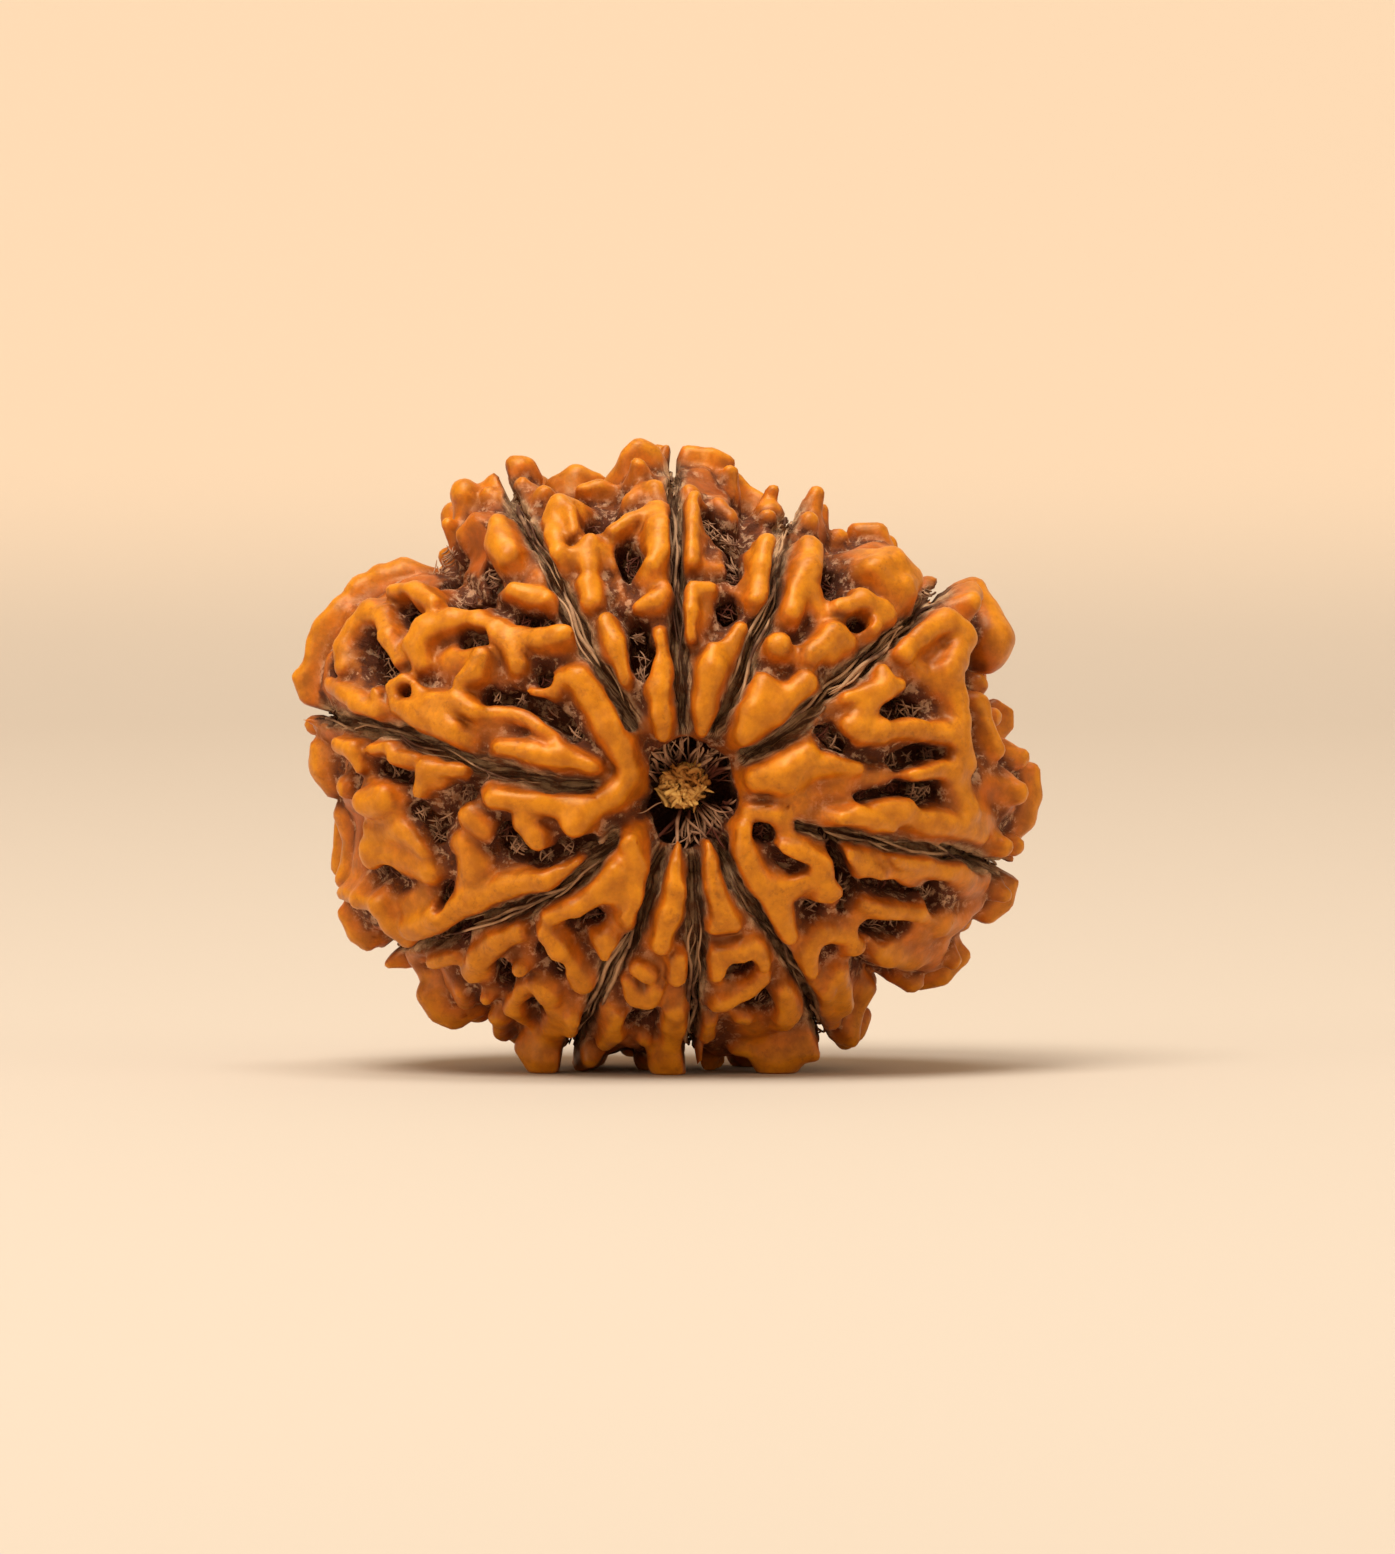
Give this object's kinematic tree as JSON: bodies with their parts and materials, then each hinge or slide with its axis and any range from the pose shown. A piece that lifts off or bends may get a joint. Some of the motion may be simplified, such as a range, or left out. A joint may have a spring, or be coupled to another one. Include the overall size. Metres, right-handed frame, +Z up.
{
  "type": "rudraksha seed",
  "caption": "Dried many-faced stone fruit seed with an open pit, radial clefts and waxy lobed ridges.",
  "frame": {"origin": "on the ground under the middle of the seed, where it rests", "axes": "+Z up, -Y along the seed's own axis out of its open pit, +X across it"},
  "size_m": [0.027, 0.019, 0.0228],
  "materials": {
    "waxy_shell": "satin, waxy"
  },
  "bodies": {
    "root": {"seed": "waxy_shell"}
  },
  "joints": []
}
